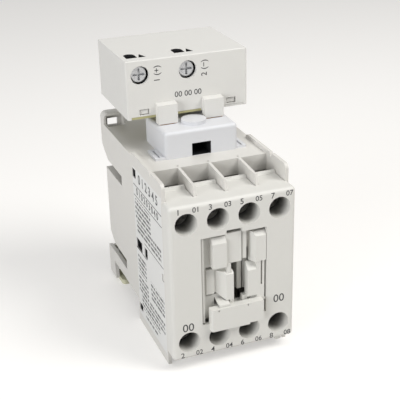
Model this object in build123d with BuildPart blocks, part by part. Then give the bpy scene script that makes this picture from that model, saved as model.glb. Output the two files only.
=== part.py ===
from build123d import *
import os

os.makedirs("parts", exist_ok=True)

# A four-pole contactor with a plug-in coil interface module. Millimetres.
# X runs across the poles, Y from the front face to the mounting rail, Z up the rail's height.
# The origin is on the ground plane, under the middle of the whole device.

# Overall sizes
body_width = 45.0
rail_face_depth = 78.5
plate_proud = 2.2
deck_height = 66.5
end_wall_rise = 1.4
side_wall = 1.2
end_pole_margin = 0.76
deck_wall = 1.8
fit_gap = 0.2
slide_gap = 0.3

# Front cover
cover_height = 57.5
cover_depth = 6.0
cover_skin = 1.6
cover_rounding = 1.4
driver_tube_gap = 0.16
driver_tube_wall = 0.65
driver_tube_depth = 9.0
cover_tab_x = (16.2, 18.2)
cover_tab_drop = 1.3
hole_row_rise = 22.15
sill_depth = 14.7
sill_rise = 1.0
sill_lip = 0.8
hook_height = 2.4
hook_depth = 8.8
hook_nib_length = 1.6
hook_arm = 1.2

# Terminal housing
housing_rear_depth = 39.0
bay_wall_depth = 21.0
rib_thickness = 1.0
rib_bend_depth = 6.9
rib_bend_drop = 0.9
rib_inner_rise = 10.8
seat_bar_rear_depth = 31.0
seat_bar_rise = 18.35
wall_notch_depth = 17.0
wall_notch_width = 1.5
wall_notch_drop = 1.9
deck_pit_depth = 22.6
deck_pit_radius = 0.45
wall_nose_radius = 1.8
label_inset = 1.0
label_low = 3.5
label_high = 63.0
label_thickness = 0.15

# Current path
terminal_side_gap = 0.41
terminal_thickness = 1.2
terminal_half_height = 5.0
arm_depth = 28.2
arm_width = 4.4
arm_end_rise = 5.7
tip_rise = 7.7
tip_radius = 1.6
tip_thickness = 1.0
bridge_thickness = 1.2
bridge_width = 4.2
contact_gap = 3.8
bridge_half_length = 9.4

# Terminal screws and saddle clamps
screw_head_radius = 3.1
screw_head_height = 2.4
screw_shank_radius = 1.7
thread_clearance = 0.06
clamp_bore_gap = 0.05
housing_bore_gap = 0.4
screw_shank_length = 11.0
cross_slot_width = 0.8
cross_slot_length = 4.2
cross_slot_depth = 1.2
clamp_side_gap = 0.61
clamp_height = 8.4
clamp_thickness = 1.5

# Contact carrier and magnet
carrier_travel = 5.0
carrier_beam_front = 15.5
carrier_beam_half_height = 4.8
carrier_beam_end_gap = 1.1
carrier_post_front = 4.6
carrier_post_width = 1.6
carrier_post_left = 2.8
carrier_post_height = 15.8
carrier_post_gap = 0.6
carrier_web_height = 20.4
carrier_web_front = 9.5
bridge_window_width = 5.2
spring_space = 4.0
carrier_plate_depth = 33.5
carrier_plate_thickness = 3.0
carrier_plate_half_width = 15.0
carrier_plate_half_height = 13.2
carrier_leg_width = 3.2
armature_half_width = 17.0
armature_thickness = 5.9
magnet_half_height = 9.0
pole_leg_width = 4.4
centre_leg_half_width = 5.0
cushion_thickness = 2.7
core_yoke_thickness = 5.5
air_gap_left = 0.2
cushion_width = 6.0
pin_radius = 1.2
bobbin_wall = 1.0
bobbin_flange = 1.2
flange_setback = 0.6
flange_rear_gap = 0.4
bobbin_half_width = 12.1
bobbin_half_height = 12.9
winding_clearance = 0.8
return_spring_rise = 11.2
return_spring_radius = 1.5
return_spring_wire = 0.45
contact_spring_radius = 1.5
contact_spring_wire = 0.4
spring_turns = 5

# Rear base and rail fixing
base_lower_edge = 9.1
slot_setback = 3.6
upper_slot_low = 49.1
upper_slot_high = 53.0
lower_slot_low = 14.1
lower_slot_high = 18.3
rail_seat_setback = 4.3
seat_wall = 2.0
rail_flange = 1.0
rail_gap = 0.2
rail_hook_drop = 3.8
rail_hook_x = (8.0, 16.0)
upper_curve_length = 7.4
foot_length = 8.5
foot_bottom = 1.6
foot_top = 13.4
foot_wall = 1.4
foot_bar_thickness = 1.5
ear_width = 8.6
ear_height = 70.6
ear_length = 5.0
ear_rim = 0.9
ear_floor_height = 63.6
ear_window_width = 4.3
ear_window_height = 3.2
ear_window_centre = 66.2
ear_plate = 2.0
ear_corner = 2.0

# Rail latch
latch_half_width = 14.5
latch_plate_setback = 2.2
latch_plate_thickness = 2.0
latch_bar_setback = 12.2
latch_nose_thickness = 1.6
latch_window_half_width = 5.0
latch_window_top = 10.5
latch_spring_radius = 1.5
latch_spring_wire = 0.4
tongue_height = 1.3
guide_rib = 1.6

# Coil terminal block
block_front_depth = 29.1
block_left = -13.0
block_right = 13.9
block_rounding = 1.2
block_height = 9.7
block_rear_depth = 50.0
block_window_width = 7.0
block_window_height = 4.5
block_window_depth = 12.0
block_window_sill = 0.15
block_window_shift = 0.3
flange_width = 3.4
flange_height = 0.9
flange_rear_depth = 38.6
flange_setback_front = 0.4
flange_groove_place = 1.87
flange_groove_width = 0.8
flange_groove_inset = 1.0
flange_groove_floor = 0.3
hump_radius = 4.4
hump_height = 1.3
hump_depth = 36.5
neck_half_width = 8.0
neck_thickness = 2.2

# Interface module
module_side_gap = 0.1
module_front_depth = 40.4
module_length = 34.7
module_bottom = 78.5
module_height = 20.8
module_wall = 1.4
module_base_thickness = 0.9
module_corner = 0.6
module_rim = 0.4
base_gap = 0.15
snap_hook_gap = 0.3
snap_hook_thickness = 1.0
snap_hook_inset = 0.5
module_screw_height = 94.0
module_screw_inset = 5.15
module_screw_spacing = 17.35
module_hole_radius = 3.3
module_head_radius = 2.9
module_head_recess = 1.7
module_head_height = 1.6
module_shank_length = 8.0
wire_slot_width = 3.9
wire_slot_setback = 3.9
wire_slot_length = 5.6
wire_slot_shift = 1.4
key_notch_shift = 3.75
key_notch_width = 2.8
key_notch_length = 4.2
snap_window_width = 3.6
snap_window_height = 2.1
snap_window_inset = 6.2
snap_window_rise = 0.4
tab_width = 7.2
tab_inner_left = 5.0
tab_inner_right = 5.1
tab_thickness = 2.8
tab_top = 83.6
tab_slope = 0.4
prong_width = 4.6
prong_thickness = 0.8
prong_setback = 1.3
prong_reach = 7.6
prong_shoulder = 0.8
prong_slot_gap = 0.5
prong_slot_half_depth = 1.5
prong_slot_floor = 1.2
leaf_gap = 0.15
leaf_thickness = 0.5
module_clamp_half_width = 3.0
module_clamp_thickness = 0.8
module_clamp_z = (90.6, 97.0)
module_plate_half_width = 3.2
module_plate_thickness = 1.2
board_thickness = 1.6
board_front_gap = 6.0
board_rear_gap = 2.0
board_side_gap = 1.0
choke_x = 7.0
choke_radius = 5.5
choke_bore = 2.4
choke_height = 10.0

# Guide for a plug-on auxiliary block, in the cover's window
window_left = -11.7
window_right = 11.9
window_low = 16.6
window_high = 49.3
guide_gap = 0.4
guide_floor_depth = 3.2
guide_plate = 1.6
opening_left = -0.9
opening_right = 7.2
opening_low = 21.6
opening_high = 41.6
window_notch_height = 1.4
window_notch_right = 3.0
guide_rim = 0.7
guide_rim_depth = 0.6
hook_block_x = (-7.6, -2.6)
hook_block_z = (37.2, 48.2)
hook_block_bevel = (1.4, 2.0)
middle_plate_x = (-2.6, 3.1)
middle_plate_depth = 1.0
middle_plate_low = 37.9
strip_x = (3.6, 5.0)
strip_z = (38.5, 48.6)
strip_depth = 1.4
taper_left_x = (6.3, 7.8)
taper_z = (36.8, 47.8)
taper_chamfer = 1.4
flat_rail_left = 8.6
flat_rail_depth = 0.3
slit_x = (9.9, 10.5)
slit_z = (27.6, 37.0)
seam_width = 0.45
seam_z = (22.3, 37.0)
sloped_rail_x = (-5.4, -2.7, 0.0)
sloped_rail_z = (24.2, 34.9)
sloped_rail_depth = 0.4
sloped_rail_undercut = 2.1
rail_chamfer = 0.9
pillar_x = (-1.4, 0.0)
pillar_depth = 0.6
upper_pillar_x = (-2.2, -0.9)
straight_rail_x = (5.1, 9.0)
straight_rail_z = (24.0, 36.4)
straight_rail_bevel = (2.3, 2.5)
rib_block_x = (-9.1, -6.3)
rib_block_depth = 2.6
floor_gaps = (((-9.1, -6.5), (35.9, 36.6)), ((-9.0, -5.1), (25.8, 26.5)))
tongue_x = (-5.9, -2.0)
tongue_front = -1.2
tongue_root_z = (23.9, 24.6)
tongue_drop = 1.0
tongue_hole = ((-6.2, -1.6), (21.9, 24.6))
ledge_left = 3.5
ledge_depth = 1.2
ledge_top = 24.2
ledge_notch = ((5.2, 6.7), (22.6, 23.2))
front_plate_x = (-9.2, 10.05)
front_plate_z = (15.0, 22.8)
front_plate_rear = 0.6
front_plate_lip_right = 4.9
front_plate_lip_low = 14.4
front_plate_fill_left = -6.4
front_plate_chamfer = 0.5
dot_places = ((-6.5, 22.15), (4.2, 22.15))
dot_radius = 0.3
dot_depth = 1.0

# Side windows, as distances in front of the housing's rear edge and as heights
side_window_insets = [(4.6, 0.8), (8.1, 1.7), (14.2, 11.0), (5.0, 1.2)]
side_window_heights = [(59.0, 62.3), (31.5, 35.5), (31.7, 35.6), (5.3, 8.1)]

# Steps and roundings of the rear base, foot and ears
slot_step = 3
slot_step_drop = 1.6
seat_slope_rise = 3.6
upper_curve_rise = 4.4
upper_curve_rounding = 4.0
rear_rounding = 3.0
leg_step = 1.5
leg_skew = 0.1
leg_toe = 0.3
leg_rounding = 1.0
foot_bar_lift = 0.6
foot_bar_drop = 0.4
foot_bar_inset = 0.5
tongue_inset = 0.6
guide_rib_setback = 2
guide_rib_low = 0.6
guide_rib_high = 1.4
rail_hook_setback = 0.6
rail_hook_root = 3.5
ear_root = 2
ear_hollow_run = 3
ear_floor_skin = 0.4

# Nose and bar of the rail latch
latch_nose_rise = 1.0
latch_bar_gap = 0.7
latch_bar_overlap = 0.4
latch_bar_rounding = 1.5
latch_bar_wall = 2.4
nose_gap = 0.2
nose_lean = 0.9
nose_shoulder = 1.4
nose_lip = 2.4

# Small steps and roundings of the inner pieces
arm_cut_beyond = 2.3
arm_cut_start = 2
beam_wall = 2.6
carrier_leg_root = 0.5
carrier_rounding = 0.8
pin_setback = 1.6
armature_rounding = 1.0
bridge_rounding = 1.0
cushion_rounding = 1.0
bobbin_rounding = 1.5
winding_rounding = 3.0

# Derived places
half_width = body_width / 2
front_y = plate_proud - (rail_face_depth + plate_proud) / 2
centre_z = deck_height / 2
cover_half = cover_height / 2
inner_half = half_width - side_wall
pole_pitch = (body_width - end_pole_margin) / 4
bay_half = inner_half - 1.5 * pole_pitch
driver_hole_radius = bay_half - driver_tube_wall - driver_tube_gap
terminal_width = 2 * (bay_half - terminal_side_gap)
clamp_width = 2 * (bay_half - clamp_side_gap)
carrier_beam_half_width = inner_half - carrier_beam_end_gap
poles = [pole_pitch * (place - 1.5) for place in range(4)]
ribs = [pole_pitch * (place - 1) for place in range(3)]
tube_radius = driver_hole_radius + driver_tube_wall
screw_seat_depth = sill_depth - clamp_thickness
screw_front_depth = screw_seat_depth - screw_head_height
tip_face_depth = arm_depth - tip_thickness
bridge_rear_depth = tip_face_depth - contact_gap - tip_thickness
bridge_front_depth = bridge_rear_depth - bridge_thickness
armature_depth = carrier_plate_depth + carrier_plate_thickness
core_front_depth = armature_depth + armature_thickness + carrier_travel + air_gap_left
rail_seat_depth = rail_face_depth - rail_seat_setback
cavity_rear_depth = rail_seat_depth - seat_wall
core_rear_depth = cavity_rear_depth - cushion_thickness
yoke_depth = core_rear_depth - core_yoke_thickness
flange_front = core_front_depth + flange_setback
flange_rear = yoke_depth - flange_rear_gap
slot_front_depth = flange_front + bobbin_flange + slot_setback
foot_front_depth = rail_face_depth - foot_length
foot_bar_front_depth = rail_face_depth - foot_bar_thickness
ear_front_depth = rail_face_depth - ear_length
latch_plate_depth = rail_seat_depth - latch_plate_setback
latch_bar_depth = rail_face_depth - latch_bar_setback
module_rear_depth = module_front_depth + module_length
block_top = deck_height + block_height
tab_depth = module_front_depth - tab_thickness
tab_low = block_top + fit_gap
prong_depth = tab_depth + prong_setback
module_half = body_width / 2 - module_side_gap
module_screw_left = module_screw_inset - module_half
snap_window_shift = module_half - snap_window_inset
wire_slot_depth = module_front_depth + wire_slot_setback


def at(depth):
    """Y of a place measured back from the front face."""
    return front_y + depth


def face_plane(depth):
    """Plane facing the front, with local X across and local Y up."""
    return Plane.XZ.offset(-at(depth))


def outline(points, plane, rounds=()):
    """Closed polygon on a plane, with chosen corners rounded."""
    with BuildSketch(plane) as shape:
        with BuildLine():
            Polyline(*points, close=True)
        make_face()
        for corner, radius in rounds:
            fillet(shape.vertices().sort_by_distance(corner)[0], radius)
    return shape.sketch


def side_outline(points, x_place, rounds=()):
    """Polygon of (depth, height) points on a plane across X."""
    placed = [(at(depth), height) for depth, height in points]
    placed_rounds = [((at(corner[0]), corner[1]), radius) for corner, radius in rounds]
    return outline(placed, Plane.YZ.offset(x_place), placed_rounds)


def block(x_span, depth_span, z_span, mode=Mode.ADD):
    """Rectangular block between the given limits, depths counted from the front face."""
    size = [high - low for low, high in (x_span, depth_span, z_span)]
    middle = [(low + high) / 2 for low, high in (x_span, depth_span, z_span)]
    with Locations((middle[0], at(middle[1]), middle[2])):
        Box(*size, mode=mode)


def rod(x_place, z_place, radius, depth_span, mode=Mode.ADD):
    """Round bar along Y."""
    middle = (depth_span[0] + depth_span[1]) / 2
    with Locations((x_place, at(middle), z_place)):
        Cylinder(radius, depth_span[1] - depth_span[0], rotation=(90, 0, 0), mode=mode)


def mirrored(points):
    """The same (depth, height) points below the middle height."""
    return [(depth, 2 * centre_z - height) for depth, height in points]


def save(piece, name):
    """Labels a finished piece and writes its file."""
    piece.part.label = name
    export_step(piece.part, f"parts/{name}.step")


def coil_spring(radius, wire, length):
    """Helical compression spring standing on XY, ends just inside its length."""
    rise = length - 2 * wire
    with BuildPart() as spring:
        with BuildLine() as path:
            Helix(pitch=rise / spring_turns, height=rise, radius=radius)
        with BuildSketch(Plane(origin=path.line @ 0, z_dir=path.line % 0)):
            Circle(wire / 2)
        sweep(is_frenet=True)
    return spring.part.moved(Location((0, 0, wire)))


# Front cover: a rounded cap with eight driver tubes, wire-bay shelves and side hooks
cover_top = centre_z + cover_half
bay_edges = [-inner_half] + ribs + [inner_half]
with BuildPart() as front_cover:
    with BuildSketch(face_plane(0)):
        with Locations((0, centre_z)):
            Rectangle(body_width, cover_height)
    extrude(amount=-cover_depth)
    fillet(front_cover.edges().filter_by(Axis.Y), cover_rounding)
    fillet(front_cover.faces().sort_by(Axis.Y)[0].edges(), cover_rounding)
    with BuildSketch(face_plane(cover_skin)):
        with Locations((0, centre_z)):
            Rectangle(body_width - 2 * cover_skin, cover_height - 2 * cover_skin)
    extrude(amount=-cover_depth, mode=Mode.SUBTRACT)
    for bay in range(4):
        bay_left = bay_edges[bay] + (fit_gap if bay == 0 else rib_thickness / 2 + fit_gap)
        bay_right = bay_edges[bay + 1] - (fit_gap if bay == 3 else rib_thickness / 2 + fit_gap)
        shelf = [
            (cover_skin, cover_top - cover_skin),
            (sill_depth, cover_top - cover_skin),
            (sill_depth, cover_top + sill_rise),
            (sill_depth - sill_lip, cover_top + sill_rise),
            (sill_depth - 2 * sill_lip, cover_top),
            (cover_skin, cover_top),
        ]
        for points in (shelf, mirrored(shelf)):
            extrude(side_outline(points, bay_left), amount=bay_right - bay_left)
    for pole in poles:
        for side in (1, -1):
            rod(pole, centre_z + side * hole_row_rise, tube_radius, (cover_skin / 2, driver_tube_depth))
    for pole in poles:
        for side in (1, -1):
            rod(pole, centre_z + side * hole_row_rise, driver_hole_radius, (-1, driver_tube_depth + 1),
                mode=Mode.SUBTRACT)
    block((window_left, window_right), (-1, cover_depth), (window_low, window_high), Mode.SUBTRACT)
    block((middle_plate_x[0], window_notch_right), (-1, cover_depth),
          (window_high, window_high + window_notch_height),
          Mode.SUBTRACT)
    for side in (1, -1):
        arm_out = side * (inner_half - fit_gap / 2)
        arm_in = side * (inner_half - fit_gap / 2 - hook_arm)
        nib_out = side * (half_width - fit_gap)
        hook_low, hook_high = centre_z - hook_height / 2, centre_z + hook_height / 2
        block(sorted((arm_in, arm_out)), (cover_skin, hook_depth), (hook_low, hook_high))
        block(sorted((arm_in, nib_out)), (hook_depth - hook_nib_length, hook_depth), (hook_low, hook_high))
    cover_low = centre_z - cover_half
    block(cover_tab_x, (cover_rounding, cover_depth), (cover_low - cover_tab_drop, cover_low + cover_skin))
save(front_cover, "front_cover")

# Terminal housing: the two bars that seat the terminals, each with its deck plate
label_shape = [
    (cover_depth + label_inset, label_low),
    (housing_rear_depth - label_inset, label_low),
    (housing_rear_depth - label_inset, label_high),
    (cover_depth + label_inset, label_high),
]
end_top = deck_height + end_wall_rise
rib_top_bend = deck_height - rib_bend_drop
seat_front = bay_wall_depth + terminal_thickness
plate_top = centre_z + hole_row_rise + terminal_half_height
seat_low = centre_z + seat_bar_rise
with BuildPart() as terminal_housing:
    bar_shape = [
        (bay_wall_depth, deck_height),
        (housing_rear_depth, deck_height),
        (housing_rear_depth, deck_height - deck_wall),
        (seat_bar_rear_depth, deck_height - deck_wall),
        (seat_bar_rear_depth, seat_low),
        (seat_front, seat_low),
        (seat_front, plate_top + fit_gap),
        (bay_wall_depth, plate_top + fit_gap),
    ]
    for points in (bar_shape, mirrored(bar_shape)):
        extrude(side_outline(points, -inner_half), amount=2 * inner_half)
    for pole in poles:
        for side in (1, -1):
            rod(pole, centre_z + side * hole_row_rise, screw_shank_radius + housing_bore_gap,
                (bay_wall_depth, bay_wall_depth + screw_shank_length), mode=Mode.SUBTRACT)
    for rib in ribs:
        with Locations((rib, at(deck_pit_depth), deck_height)):
            Cylinder(deck_pit_radius, deck_wall, mode=Mode.SUBTRACT)
save(terminal_housing, "terminal_housing")

# End walls of the housing, with snap windows and the label's recess on the left
wall_shape = [
    (cover_depth, 0),
    (housing_rear_depth, 0),
    (housing_rear_depth, end_top),
    (wall_notch_depth + wall_notch_width, end_top),
    (wall_notch_depth + wall_notch_width / 2, end_top - wall_notch_drop),
    (wall_notch_depth, end_top),
    (cover_depth, end_top),
]
wall_rounds = [((cover_depth, end_top), wall_nose_radius), ((housing_rear_depth, end_top), wall_nose_radius)]
side_windows = [
    ((housing_rear_depth - front, housing_rear_depth - rear), z_span)
    for (front, rear), z_span in zip(side_window_insets, side_window_heights)
]
side_windows.append(((hook_depth - hook_nib_length - fit_gap, hook_depth + fit_gap),
                     (centre_z - hook_height / 2 - fit_gap, centre_z + hook_height / 2 + fit_gap)))
for wall_name, wall_x in (("housing_wall_left", -half_width), ("housing_wall_right", inner_half)):
    with BuildPart() as end_wall:
        extrude(side_outline(wall_shape, wall_x, wall_rounds), amount=side_wall)
        for depth_span, z_span in side_windows:
            block((wall_x - 1, wall_x + side_wall + 1), depth_span, z_span, Mode.SUBTRACT)
        if wall_x < 0:
            extrude(side_outline(label_shape, wall_x), amount=label_thickness, mode=Mode.SUBTRACT)
    save(end_wall, wall_name)

# Ribs between the poles, seated against the front of both bars
with BuildPart() as pole_ribs:
    rib_shape = [
        (cover_depth, cover_top),
        (rib_bend_depth, rib_top_bend),
        (bay_wall_depth, deck_height),
        (bay_wall_depth, plate_top + fit_gap),
        (seat_front, plate_top + fit_gap),
        (seat_front, seat_low),
        (seat_bar_rear_depth, seat_low),
        (seat_bar_rear_depth, centre_z + rib_inner_rise),
        (cover_depth, centre_z + rib_inner_rise),
    ]
    for rib in ribs:
        for points in (rib_shape, mirrored(rib_shape)):
            extrude(side_outline(points, rib - rib_thickness / 2), amount=rib_thickness)
save(pole_ribs, "pole_ribs")

# Guide for the auxiliary block: a floor with hooked, sloped and flat rails round the carrier's opening
floor_span = (guide_floor_depth, guide_floor_depth + guide_plate)
guide_left, guide_right = window_left + guide_gap, window_right - guide_gap / 2
guide_low, guide_high = window_low + guide_gap, window_high - guide_gap / 2
opening_x = (opening_left, opening_right)
opening_z = (opening_low, opening_high)
with BuildPart() as auxiliary_guide:
    block((guide_left, guide_right), floor_span, (guide_low, guide_high))
    block(opening_x, (guide_floor_depth - 1, guide_floor_depth + 2 * guide_plate), opening_z, Mode.SUBTRACT)
    for gap_x, gap_z in floor_gaps + (tongue_hole,):
        block(gap_x, (guide_floor_depth - 1, guide_floor_depth + 2 * guide_plate), gap_z, Mode.SUBTRACT)
    block((guide_left, guide_left + guide_rim), (guide_rim_depth, guide_floor_depth), (guide_low, guide_high))
    # hooked block, upper left
    hook_face = [
        (guide_floor_depth, hook_block_z[0]),
        (0, hook_block_z[0]),
        (0, hook_block_z[1] - hook_block_bevel[1]),
        (hook_block_bevel[0], hook_block_z[1]),
        (guide_floor_depth, hook_block_z[1]),
    ]
    extrude(side_outline(hook_face, hook_block_x[0]), amount=hook_block_x[1] - hook_block_x[0])
    # plate and strip at the top middle
    block(middle_plate_x, (middle_plate_depth, guide_floor_depth), (middle_plate_low, guide_high))
    block(strip_x, (strip_depth, guide_floor_depth), strip_z)
    # tapered block, upper right, with the flat rail below it
    taper_points = [
        (taper_left_x[0], at(guide_floor_depth)),
        (taper_left_x[1], at(0)),
        (guide_right, at(0)),
        (guide_right, at(guide_floor_depth)),
    ]
    extrude(outline(taper_points, Plane.XY.offset(taper_z[0])), amount=taper_z[1] - taper_z[0])
    taper_edge = (taper_left_x[1] + taper_chamfer, at(0), taper_z[1])
    chamfer(auxiliary_guide.edges().filter_by(Axis.X).sort_by_distance(taper_edge)[0], taper_chamfer)
    block((flat_rail_left, guide_right), (flat_rail_depth, guide_floor_depth), (opening_low, taper_z[0]))
    block(slit_x, (-1, guide_floor_depth + 2 * guide_plate), slit_z, Mode.SUBTRACT)
    block((guide_right - seam_width, guide_right + 1), (-1, guide_floor_depth), seam_z, Mode.SUBTRACT)
    # sloped rail, lower left, undercut over the tongue, with a pillar below and one above
    slope_points = [
        (sloped_rail_x[0], at(guide_floor_depth)),
        (sloped_rail_x[1], at(sloped_rail_depth)),
        (sloped_rail_x[2], at(sloped_rail_depth)),
        (sloped_rail_x[2], at(guide_floor_depth)),
    ]
    extrude(outline(slope_points, Plane.XY.offset(sloped_rail_z[0])),
            amount=sloped_rail_z[1] - sloped_rail_z[0])
    slope_edge = (sloped_rail_x[2] - rail_chamfer, at(sloped_rail_depth), sloped_rail_z[1])
    chamfer(auxiliary_guide.edges().filter_by(Axis.X).sort_by_distance(slope_edge)[0], rail_chamfer)
    undercut = [
        (sloped_rail_depth, sloped_rail_z[0]),
        (guide_floor_depth, sloped_rail_z[0] + sloped_rail_undercut),
        (guide_floor_depth, sloped_rail_z[0]),
    ]
    extrude(side_outline(undercut, sloped_rail_x[0] - 1), amount=pillar_x[0] - sloped_rail_x[0] + 1,
            mode=Mode.SUBTRACT)
    block(pillar_x, (pillar_depth, floor_span[1]), (opening_low, sloped_rail_z[0] + 1))
    block(upper_pillar_x, (pillar_depth, floor_span[1]), (sloped_rail_z[1] - 1, middle_plate_low))
    # straight rail, right of the opening, bevelled at its top
    rail_face = [
        (guide_floor_depth, straight_rail_z[0]),
        (flat_rail_depth, straight_rail_z[0]),
        (flat_rail_depth, straight_rail_z[1] - straight_rail_bevel[1]),
        (flat_rail_depth + straight_rail_bevel[0], straight_rail_z[1]),
        (guide_floor_depth, straight_rail_z[1]),
    ]
    extrude(side_outline(rail_face, straight_rail_x[0]), amount=straight_rail_x[1] - straight_rail_x[0])
    # raised rib between the two gaps in the floor, lower left
    block(rib_block_x, (rib_block_depth, guide_floor_depth), (floor_gaps[1][1][1], floor_gaps[0][1][0]))
    # tongue that leans forward under the sloped rail
    tongue = [
        (floor_span[1], tongue_root_z[0]),
        (guide_floor_depth, tongue_root_z[0]),
        (tongue_front, tongue_root_z[0] - tongue_drop),
        (tongue_front, tongue_root_z[1] - tongue_drop),
        (guide_floor_depth, tongue_root_z[1]),
        (floor_span[1], tongue_root_z[1]),
    ]
    extrude(side_outline(tongue, tongue_x[0]), amount=tongue_x[1] - tongue_x[0])
    # ledge with a notch, under the straight rail
    block((ledge_left, guide_right - seam_width), (ledge_depth, guide_floor_depth), (guide_low, ledge_top))
    block(ledge_notch[0], (0, guide_floor_depth), ledge_notch[1], Mode.SUBTRACT)
    # proud plate across the lower end
    block(front_plate_x, (-plate_proud, 0), front_plate_z)
    block(front_plate_x, (0, front_plate_rear), (guide_low, front_plate_z[1]))
    block((front_plate_x[0], front_plate_lip_right), (-plate_proud, 0),
          (front_plate_lip_low, front_plate_z[0] + 1))
    plate_edge = (front_plate_x[0], at(-plate_proud), (front_plate_z[0] + front_plate_z[1]) / 2)
    chamfer(auxiliary_guide.edges().filter_by(Axis.Z).sort_by_distance(plate_edge)[0], front_plate_chamfer)
    block((front_plate_fill_left, front_plate_x[1]), (front_plate_rear, guide_floor_depth),
          (guide_low, opening_low))
    for dot_x, dot_z in dot_places:
        rod(dot_x, dot_z, dot_radius, (-plate_proud - 1, dot_depth - plate_proud), mode=Mode.SUBTRACT)
save(auxiliary_guide, "auxiliary_guide")

# Fixed contacts: a clamped plate, a leg to the rear and an arm that carries the silver tip
def fixed_contact(pole, side):
    """One stamped terminal, upper for side 1 and lower for side -1."""
    plate_high = plate_top
    leg_low = seat_low - terminal_thickness
    strip = [
        (bay_wall_depth, plate_high),
        (seat_front, plate_high),
        (seat_front, seat_low),
        (arm_depth + terminal_thickness, seat_low),
        (arm_depth + terminal_thickness, centre_z + arm_end_rise),
        (arm_depth, centre_z + arm_end_rise),
        (arm_depth, leg_low),
        (bay_wall_depth, leg_low),
    ]
    if side < 0:
        strip = mirrored(strip)
    leg_height = centre_z + side * (seat_bar_rise + terminal_half_height + 1)
    extrude(side_outline(strip, pole - terminal_width / 2), amount=terminal_width)
    for edge_side in (1, -1):
        edge_in = pole + edge_side * arm_width / 2
        edge_out = pole + edge_side * (terminal_width / 2 + 1)
        arm_span = sorted((leg_height - side * (terminal_half_height + arm_cut_beyond),
                           centre_z + side * arm_cut_start))
        block(sorted((edge_in, edge_out)), (arm_depth - 1, arm_depth + terminal_thickness + 1), arm_span,
              Mode.SUBTRACT)
    rod(pole, centre_z + side * hole_row_rise, screw_shank_radius + thread_clearance,
        (bay_wall_depth - 1, seat_front + 1), mode=Mode.SUBTRACT)


for terminal_name, side in (("line_terminals", 1), ("load_terminals", -1)):
    with BuildPart() as terminals:
        for pole in poles:
            fixed_contact(pole, side)
    save(terminals, terminal_name)

with BuildPart() as fixed_tips:
    for pole in poles:
        for side in (1, -1):
            rod(pole, centre_z + side * tip_rise, tip_radius, (tip_face_depth, arm_depth))
save(fixed_tips, "fixed_contact_tips")

# Terminal screws and their saddle clamps, one pair for each wire
def cross_head_screw(x_place, z_place, front_depth, head_radius, head_height, shank_length):
    """Domed screw with a cross recess and a plain shank."""
    rod(x_place, z_place, head_radius, (front_depth, front_depth + head_height))
    fillet(faces(Select.LAST).sort_by(Axis.Y)[0].edges(), head_height / 4)
    rod(x_place, z_place, screw_shank_radius,
        (front_depth + head_height, front_depth + head_height + shank_length))
    arm = cross_slot_length / 2
    half_slot = cross_slot_width / 2
    slot_span = (front_depth - 1, front_depth + cross_slot_depth)
    block((x_place - arm, x_place + arm), slot_span, (z_place - half_slot, z_place + half_slot),
          Mode.SUBTRACT)
    block((x_place - half_slot, x_place + half_slot), slot_span, (z_place - arm, z_place + arm),
          Mode.SUBTRACT)


def saddle_clamp(x_place, z_place, depth, width, height):
    """Square washer plate with turned-back side lips and a screw hole."""
    saddle = [
        (x_place - width / 2, at(depth)),
        (x_place + width / 2, at(depth)),
        (x_place + width / 2, at(depth + clamp_thickness * 1.4)),
        (x_place + width / 2 - 0.9, at(depth + clamp_thickness)),
        (x_place - width / 2 + 0.9, at(depth + clamp_thickness)),
        (x_place - width / 2, at(depth + clamp_thickness * 1.4)),
    ]
    extrude(outline(saddle, Plane.XY.offset(z_place - height / 2)), amount=height)
    rod(x_place, z_place, screw_shank_radius + clamp_bore_gap, (depth - 1, depth + 2 * clamp_thickness),
        mode=Mode.SUBTRACT)


places = [(pole, 1) for pole in poles] + [(pole, -1) for pole in poles]
for number, (pole, side) in enumerate(places, start=1):
    height = centre_z + side * hole_row_rise
    with BuildPart() as screw:
        cross_head_screw(pole, height, screw_front_depth, screw_head_radius, screw_head_height,
                         screw_shank_length)
    save(screw, f"terminal_screw_{number}")
    with BuildPart() as clamp:
        saddle_clamp(pole, height, screw_seat_depth, clamp_width, clamp_height)
    save(clamp, f"wire_clamp_{number}")

# Contact carrier: front posts seen in the window, a beam with a window per pole, legs and a rear plate
window_front = bridge_front_depth - spring_space
window_rear = bridge_rear_depth
beam_rear = window_rear + beam_wall
with BuildPart() as contact_carrier:
    beam_z = (centre_z - carrier_beam_half_height, centre_z + carrier_beam_half_height)
    block((-carrier_beam_half_width, carrier_beam_half_width), (carrier_beam_front, beam_rear), beam_z)
    fillet(contact_carrier.edges().filter_by(Axis.Z), carrier_rounding)
    for pole in poles:
        half_window = bridge_window_width / 2
        block((pole - half_window, pole + half_window), (window_front, window_rear),
              (beam_z[0] - 1, beam_z[1] + 1), Mode.SUBTRACT)
    for place in range(2):
        left = carrier_post_left + place * (carrier_post_width + carrier_post_gap)
        block((left, left + carrier_post_width), (carrier_post_front, carrier_beam_front + 1),
              (centre_z - carrier_post_height / 2, centre_z + carrier_post_height / 2))
    block((carrier_post_left, carrier_post_left + 2 * carrier_post_width + carrier_post_gap),
          (carrier_web_front, carrier_beam_front + 1),
          (centre_z - carrier_web_height / 2, centre_z + carrier_web_height / 2))
    for side in (1, -1):
        leg = side * pole_pitch
        block((leg - carrier_leg_width / 2, leg + carrier_leg_width / 2),
              (beam_rear - carrier_leg_root, carrier_plate_depth + carrier_leg_root),
              beam_z)
    block((-carrier_plate_half_width, carrier_plate_half_width),
          (carrier_plate_depth, carrier_plate_depth + carrier_plate_thickness),
          (centre_z - carrier_plate_half_height, centre_z + carrier_plate_half_height))
    fillet(contact_carrier.faces().sort_by(Axis.Y)[-1].edges().filter_by(Axis.X), carrier_rounding)
    with Locations((0, at(armature_depth - pin_setback), centre_z)):
        Cylinder(pin_radius, 2 * armature_half_width, rotation=(0, 90, 0), mode=Mode.SUBTRACT)
save(contact_carrier, "contact_carrier")

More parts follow.
